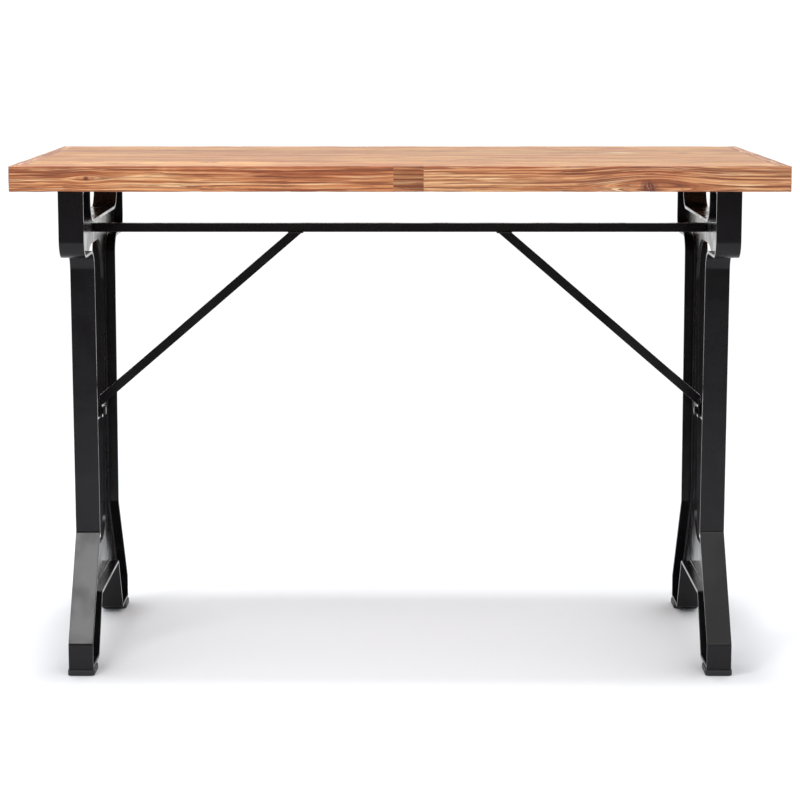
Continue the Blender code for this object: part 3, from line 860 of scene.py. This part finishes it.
def rims(node, facing):
    """The closed runs of points round the flats of a solid that look one way, the longest first."""
    work = merged_solid(node)
    work.normal_update()
    way = Vector(facing)
    far = max(vertex.co.dot(way) for vertex in work.verts)
    flats = {
        face for face in work.faces
        if face.normal.dot(way) > SAME_WAY and far - face.calc_center_median().dot(way) < SAME_LEVEL
    }
    open_edges = [edge for edge in work.edges if sum(face in flats for face in edge.link_faces) == 1]
    runs = []
    while open_edges:
        first = open_edges.pop(0)
        run = list(first.verts)
        while run[-1] is not run[0]:
            following = next(edge for edge in open_edges if run[-1] in edge.verts)
            open_edges.remove(following)
            run.append(following.other_vert(run[-1]))
        runs.append([vertex.co.copy() for vertex in run])
    work.free()
    return sorted(runs, key=len, reverse=True)


def path_mesh(name, paths):
    """Runs of points as a mesh of edges alone. A run that ends where it began is closed."""
    points, edges = [], []
    for path in paths:
        first = len(points)
        closed = (path[0] - path[-1]).length < SAME_POINT
        own = path[:-1] if closed else path
        points += own
        edges += [(first + i, first + i + 1) for i in range(len(own) - 1)]
        if closed:
            edges.append((first + len(own) - 1, first))
    mesh = bpy.data.meshes.new(name)
    mesh.from_pydata(points, edges, [])
    return mesh


print("rim of the left web:", len(rims("left_web_plate", (-1, 0, 0))[0]), "points")


# %% Weld recipe
def make_weld_recipe():
    recipe = Recipe(
        "weld_bead", Bead="number", Scale_Length="number", Swell="number", Seed="number", Finish="material",
    )
    path = recipe.add("GeometryNodeMeshToCurve", inputs={"Mesh": recipe.take("Geometry")})
    path = recipe.add("GeometryNodeResampleCurve", {"mode": "LENGTH"}, {
        "Curve": path, "Length": recipe.take("Scale_Length") * 0.34,
    })
    travelled = recipe.add("GeometryNodeSplineParameter", output="Length")
    pool = abs(recipe.maths("SINE", travelled * math.pi / recipe.take("Scale_Length")))
    place = recipe.add("GeometryNodeInputPosition")
    place = recipe.vector("ADD", place, recipe.point(recipe.take("Seed"), 0.0, 0.0))
    unsteady = recipe.noise(place, 45, 2)
    bead = recipe.add("GeometryNodeCurvePrimitiveCircle", {"mode": "RADIUS"}, {
        "Resolution": 8, "Radius": recipe.take("Bead"),
    })
    swept = recipe.add("GeometryNodeCurveToMesh", inputs={
        "Curve": path, "Profile Curve": bead, "Fill Caps": True,
        "Scale": 1 + recipe.take("Swell") * (pool - 0.6) + (unsteady - 0.5) * 0.35,
    })
    recipe.serve(swept, recipe.take("Finish"))
    return recipe


weld_recipe = make_weld_recipe()
print("recipe:", weld_recipe.tree.name, len(weld_recipe.tree.nodes), "nodes")

# %% Weld the frames
BOTH_SIDES = (("left", -1), ("right", 1))
TIE_LAP = 0.013               # how far a tie's end lies on the web
TIE_WELD_HEIGHT = 0.023       # how far up a tie's end its weld goes
FRAME_BEAD = 0.0024           # radius of the round bead
BRACE_BEAD = 0.0019
WELD_SCALE = 0.0034           # length of one frozen scale
WELD_SWELL = 0.26             # how much the bead widens over a scale, as a share of its radius


def frame_weld_paths(side, way):
    """Round both faces of the web, across each mounting plate's ends, and round the tie's ends."""
    paths = [rims(f"{side}_web_plate", (face, 0, 0))[0] for face in (-1, 1)]
    for end in ("front", "rear"):
        low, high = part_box(f"{side}_{end}_mount_plate")
        paths += [[Vector((low.x, y, low.z)), Vector((high.x, y, low.z))] for y in (low.y, high.y)]
    low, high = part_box(f"{side}_cross_tie")
    web_low, web_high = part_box(f"{side}_web_plate")
    x = web_low.x if way > 0 else web_high.x
    top = low.z + min(high.z - low.z, TIE_WELD_HEIGHT)
    for y, inward in ((low.y, TIE_LAP), (high.y, -TIE_LAP)):
        corners = ((y + inward, low.z), (y, low.z), (y, top), (y + inward, top))
        paths.append([Vector((x, across, up)) for across, up in corners])
    return paths


def add_welds(name, paths, bead):
    piece = grow(
        name, weld_recipe, path_mesh(name, paths), Bead=bead, Scale_Length=WELD_SCALE,
        Swell=WELD_SWELL, Seed=1.0, Finish=black_paint,
    )
    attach(piece, "root")
    print(f"{name}: {len(piece.data.polygons)} faces along {len(paths)} paths")


for side, way in BOTH_SIDES:
    add_welds(f"frame_welds_{side}", frame_weld_paths(side, way), FRAME_BEAD)
    add_welds(f"brace_weld_{side}", [rims(f"{side}_brace", (0, 0, 1))[0]], BRACE_BEAD)

# %% [markdown]
# ## Bolts, nuts and screws
# A fastener is a stack of rings: round for a shank, six-sided for a head, with the corners of the
# head turned down by a cone. `stack` skins such rings. One pattern of each kind is made at the
# origin with its head up, and the recipe sets a copy of it on every point, turned the way that
# point says and then spun by chance, because nobody leaves two bolts at the same angle.

# %% Rings of points
RING_POINTS = 24
HEAD_TURN = math.radians(30)      # slope of the cone that trims a head's corners
HEAD_FLAT = 0.95                  # the round flat on a head, over the width across its flats
HEAD_SEAT = 0.96                  # the same under the head
SEAT_CHAMFER = 0.0004


def six_sided(flats):
    """Radius of a six-sided bar at an angle, flats being its width across two faces."""
    sixth = math.pi / 3
    return lambda angle: flats / 2 / math.cos((angle + sixth / 2) % sixth - sixth / 2)


def stack(name, rings, hollow=False):
    """Skin rings of (radius, height), either of them a number or a function of the angle."""
    work = bmesh.new()
    loops = []
    for radius, height in rings:
        loop = []
        for i in range(RING_POINTS):
            angle = math.tau * i / RING_POINTS
            r = radius(angle) if callable(radius) else radius
            z = height(angle) if callable(height) else height
            loop.append(work.verts.new((r * math.cos(angle), r * math.sin(angle), z)))
        loops.append(loop)
    pairs = list(zip(loops, loops[1:])) + ([(loops[-1], loops[0])] if hollow else [])
    for lower, upper in pairs:
        for i in range(RING_POINTS):
            j = (i + 1) % RING_POINTS
            work.faces.new((lower[i], lower[j], upper[j], upper[i]))
    if not hollow:
        work.faces.new(loops[0][::-1])
        work.faces.new(loops[-1])
    bmesh.ops.recalc_face_normals(work, faces=work.faces)
    return mesh_of(work, name)


print("rings of", RING_POINTS, "points")

# %% Bolt and nut patterns
THREAD_PITCH = 0.00125
THREAD_SHARE = 0.86               # root over crest
THREAD_LEAD = 0.78                # tip over crest
THREAD_TOP, PLAIN_SHANK = 0.45, 0.40      # how far below the head they end, over the shank
NUT_BORE = 1.04                   # bore over the bolt's radius


def thread_rings(radius, bottom, top):
    """Crests and roots from bottom to top, with a lead-in at the tip."""
    turns = int((top - bottom) / THREAD_PITCH)
    rings = [(radius * THREAD_LEAD, bottom)]
    for i in range(turns):
        z = bottom + (i + 0.5) * THREAD_PITCH
        rings += [(radius, z), (radius * THREAD_SHARE, z + THREAD_PITCH / 2)]
    return rings


def hex_rings(flats, bottom, top):
    """A six-sided head or nut from bottom to top, its upper corners trimmed."""
    bar = six_sided(flats)
    flat = flats / 2 * HEAD_FLAT
    return [
        (flats / 2 * HEAD_SEAT, bottom), (bar, bottom + SEAT_CHAMFER),
        (bar, lambda angle: top - (bar(angle) - flat) * math.tan(HEAD_TURN)), (flat, top),
    ]


def bolt_pattern(name, radius, flats, head, shank):
    thread = thread_rings(radius, -shank, -shank * THREAD_TOP)
    plain = [(radius, -shank * PLAIN_SHANK), (radius, 0.0)]
    return stack(name, [*thread, *plain, *hex_rings(flats, 0.0, head)])


def nut_pattern(name, radius, flats, height):
    bore = radius * NUT_BORE
    return stack(name, [(bore, 0.0), *hex_rings(flats, 0.0, height), (bore, height)], hollow=True)


print("patterns: bolt and nut, with a thread every", THREAD_PITCH * 1000, "mm")

# %% Wood screw pattern
SCREW_PITCH = 0.0018
SCREW_ROOT = 0.7                  # root over crest
SCREW_THREAD = 0.7                # threaded share of the shank
HEAD_RIM = 0.3                    # upright share of the round head
RECESS_LENGTH, RECESS_WIDTH = 1.15, 0.24      # of one arm, over the head's radius
RECESS_BOX = 1.3                  # height of the box that cuts it, over the head's
SCREW_TIP = ((0.1, 0), (0.6, 2))  # radius, and height above the point, over the screw's radius
THREAD_FOOT = 3                   # where the thread starts, likewise
SCREW_NECK, NECK_DEPTH = 0.8, 0.0002
DOME_ANGLES = (30, 55, 75)


def recess_cutter(turn, head_radius, head):
    """One arm of the cross recess, as a box across the top of the head."""
    work = bmesh.new()
    arm = (head_radius * RECESS_LENGTH, head_radius * RECESS_WIDTH, head * RECESS_BOX, 1)
    bmesh.ops.create_cube(work, size=1, matrix=Matrix.Diagonal(arm))
    bmesh.ops.rotate(work, verts=work.verts, matrix=Matrix.Rotation(turn, 3, "Z"))
    bmesh.ops.translate(work, verts=work.verts, vec=(0, 0, head))
    return add_object("recess", mesh_of(work, "recess"))


def screw_pattern(name, radius, head_radius, head, shank):
    """A round-headed wood screw with a cross recess."""
    rings = [(radius * share, -shank + rise * radius) for share, rise in SCREW_TIP]
    for i in range(int((shank - THREAD_FOOT * radius) * SCREW_THREAD / SCREW_PITCH)):
        z = -shank + THREAD_FOOT * radius + i * SCREW_PITCH
        rings += [(radius, z), (radius * SCREW_ROOT, z + SCREW_PITCH / 2)]
    rings += [(radius * SCREW_NECK, -NECK_DEPTH), (head_radius, 0.0), (head_radius, head * HEAD_RIM)]
    for angle in map(math.radians, DOME_ANGLES):
        dome = HEAD_RIM + (1 - HEAD_RIM) * math.sin(angle)
        rings.append((head_radius * math.cos(angle), head * dome))
    screw = add_object(name, stack(name, rings))
    cutters = [recess_cutter(turn, head_radius, head) for turn in (0, QUARTER)]
    for cutter in cutters:
        screw.modifiers.new("recess", "BOOLEAN").object = cutter
    mesh = evaluated_mesh(screw)
    for spare in (*cutters, screw):
        bpy.data.objects.remove(spare)
    return mesh


print("pattern: wood screw, with a thread every", SCREW_PITCH * 1000, "mm")


# %% Fastener recipe
def make_fastener_recipe():
    recipe = Recipe("fastener_set", Pattern="object", Spin="number", Seed="whole", Finish="material")
    pattern = recipe.add("GeometryNodeObjectInfo", inputs={
        "Object": recipe.take("Pattern"),
    }, output="Geometry")
    turn = recipe.add("GeometryNodeInputNamedAttribute", {"data_type": "FLOAT_VECTOR"}, {
        "Name": "turn",
    })
    copies = recipe.add("GeometryNodeInstanceOnPoints", inputs={
        "Points": recipe.take("Geometry"), "Instance": pattern, "Rotation": turn,
    })
    spin = recipe.add("FunctionNodeRandomValue", {"data_type": "FLOAT"}, {
        2: 0.0, 3: recipe.take("Spin"), "Seed": recipe.take("Seed"),
    }, output=1)
    spun = recipe.add("GeometryNodeRotateInstances", inputs={
        "Instances": copies, "Rotation": recipe.point(0.0, 0.0, spin), "Local Space": True,
    })
    recipe.serve(spun, recipe.take("Finish"))
    return recipe


fastener_recipe = make_fastener_recipe()
print("recipe:", fastener_recipe.tree.name, len(fastener_recipe.tree.nodes), "nodes")

# %% [markdown]
# ## Setting the fasteners
# Each fastener's solid says where its head is and how long it is. A bolt of the bar has its head
# outside the web, and a bolt of a brace has its head inside, towards the middle of the table, with
# the nut behind the tie.

# %% Set the fasteners
HEAD_HEIGHT = 0.0055
SCREW_HEAD_HEIGHT = 0.0026
BOLT_RADIUS = 0.004
SCREW_RADIUS = 0.0022
HEAD_SHARP = 32      # degrees; the facets of a round shank are shallower, and shade smooth


def set_fasteners(name, mesh, seats, nodes, seed):
    """Copies of one pattern, each at its seat with its head looking along the seat's direction."""
    points = bpy.data.meshes.new(name)
    points.from_pydata([place for place, _ in seats], [], [])
    turns = points.attributes.new("turn", "FLOAT_VECTOR", "POINT")
    for item, (_, facing) in zip(turns.data, seats):
        item.vector = Vector(facing).to_track_quat("Z", "Y").to_euler()
    pattern = bpy.data.objects.new(f"{name}_pattern", mesh)
    piece = grow(
        name, fastener_recipe, points, sharp=HEAD_SHARP, Pattern=pattern, Spin=math.pi / 3, Seed=seed,
        Finish=black_oxide,
    )
    bpy.data.objects.remove(pattern)
    settle(piece, "black_fastener", *nodes)


def side_seats(kind, head_side, rise):
    """Each side's seat, which is rise below the end that looks outwards (1) or inwards (-1)."""
    seats = []
    for side, way in BOTH_SIDES:
        low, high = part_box(f"{side}_{kind}")
        facing = way * head_side
        x = high.x - rise if facing > 0 else low.x + rise
        seats.append(((x, (low.y + high.y) / 2, (low.z + high.z) / 2), (facing, 0, 0)))
    return seats


for kind, head_side, seed in (("stretcher_bolt", 1, 3), ("brace_bolt", -1, 4), ("brace_nut", 1, 5)):
    low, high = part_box(f"right_{kind}")
    span = high - low
    flats = min(span.y, span.z)
    if kind.endswith("nut"):
        rise, mesh = span.x, nut_pattern(kind, BOLT_RADIUS, flats, span.x)
    else:
        rise, mesh = HEAD_HEIGHT, bolt_pattern(kind, BOLT_RADIUS, flats, HEAD_HEIGHT, span.x - HEAD_HEIGHT)
    seats = side_seats(kind, head_side, rise)
    set_fasteners(f"{kind}s", mesh, seats, (f"left_{kind}", f"right_{kind}"), seed)

screw_nodes = sorted(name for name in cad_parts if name.endswith("wood_screw"))
screw_seats = []
for node in screw_nodes:
    low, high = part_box(node)
    seat = ((low.x + high.x) / 2, (low.y + high.y) / 2, low.z + SCREW_HEAD_HEIGHT)
    screw_seats.append((seat, (0, 0, -1)))
span = high - low
screw = screw_pattern(
    "wood_screw", SCREW_RADIUS, span.x / 2, SCREW_HEAD_HEIGHT, span.z - SCREW_HEAD_HEIGHT
)
set_fasteners("wood_screws", screw, screw_seats, screw_nodes, 6)

# %% [markdown]
# ## The studio
# A pale floor and white walls are all that a glossy black stand has to reflect. What it shows
# depends on them: the webs look white where they mirror the wall behind, and the front faces stay
# black because the side that they look towards is dim. A soft box at the upper left puts the grey
# sheen on the left foot, and a weaker one does the same on the right. A broad fill from the front
# lights the wood, and a small sun overhead gives the floor its faint shadow.

# %% Floor, walls and lights
FLOOR_RADIUS = 2.4
FLOOR_GAP = 0.0005                # keeps the floor clear of the glides
FLOOR_PAINT = ((0.825, 0.850, 0.885), (0.845, 0.870, 0.905))
FRONT_WALL, BACK_WALL, BACK_GLOW = 0.28, 0.73, 0.42      # each one adds to the one before
WALL_AS_SEEN = 1.05               # behind the table, for the eye


def make_floor():
    work = bmesh.new()
    bmesh.ops.create_circle(work, cap_ends=True, segments=96, radius=FLOOR_RADIUS)
    floor = add_object("floor", mesh_of(work, "floor"))
    floor.location.z = cad_low.z - FLOOR_GAP
    material, sheet, place = start_finish("pale_floor")
    cloud = sheet.noise(place, 1.5, 3)
    end_finish(sheet, sheet.blend(cloud, *FLOOR_PAINT), 0.8, cloud * 0.1)
    floor.data.materials.append(material)
    floor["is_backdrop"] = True


def make_walls():
    """White all round for the eye, and dim in front for the reflections."""
    world = bpy.data.worlds.new("studio")
    world.use_nodes = True
    world.node_tree.nodes.clear()
    sheet = Sheet(world.node_tree)
    towards = sheet.add("ShaderNodeTexCoord", output="Generated")
    x, y, z = sheet.split(towards)
    glow = sheet.ease(y + sheet.maths("MAXIMUM", z, 0.0) * 0.7, -0.75, 0.45)
    strength = FRONT_WALL + glow * BACK_WALL + sheet.ease(y, 0.3, 0.9) * BACK_GLOW
    seen = sheet.add("ShaderNodeLightPath", output="Is Camera Ray")
    strength = seen * WALL_AS_SEEN + (1 - seen) * strength
    background = sheet.add("ShaderNodeBackground", inputs={"Color": WHITE, "Strength": strength})
    sheet.add("ShaderNodeOutputWorld", inputs={"Surface": background})
    bpy.context.scene.world = world


def add_light(name, kind, place, target, energy, **settings):
    data = bpy.data.lights.new(name, kind)
    data.energy = energy
    for key, value in settings.items():
        setattr(data, key, value)
    light = add_object(name, data)
    light.location = place
    light.rotation_euler = (Vector(target) - Vector(place)).to_track_quat("-Z", "Y").to_euler()


make_floor()
make_walls()
for name, place, target, energy, width, height in (
    ("soft_box", (-0.95, -1.25, 2.05), (-0.5, -0.2, 0.13), 15, 0.7, 0.6),
    ("side_box", (0.95, -1.25, 2.05), (0.5, -0.2, 0.13), 1.8, 0.7, 0.6),
    ("front_fill", (0.9, -3.2, 2.6), (0, 0, 0.7), 26, 1.6, 1.2),
):
    add_light(name, "AREA", place, target, energy, shape="RECTANGLE", size=width, size_y=height)
add_light("overhead", "SUN", (0, 0, 4), (0, 0, 0), 0.90, angle=math.radians(8))

# %% [markdown]
# ## Finish
# The size of what is shown is written beside the size of the frame, so that they can be compared.

# %% Write the sizes and finish
low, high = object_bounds()
print("shown:", tuple(round(x, 4) for x in low), tuple(round(x, 4) for x in high))
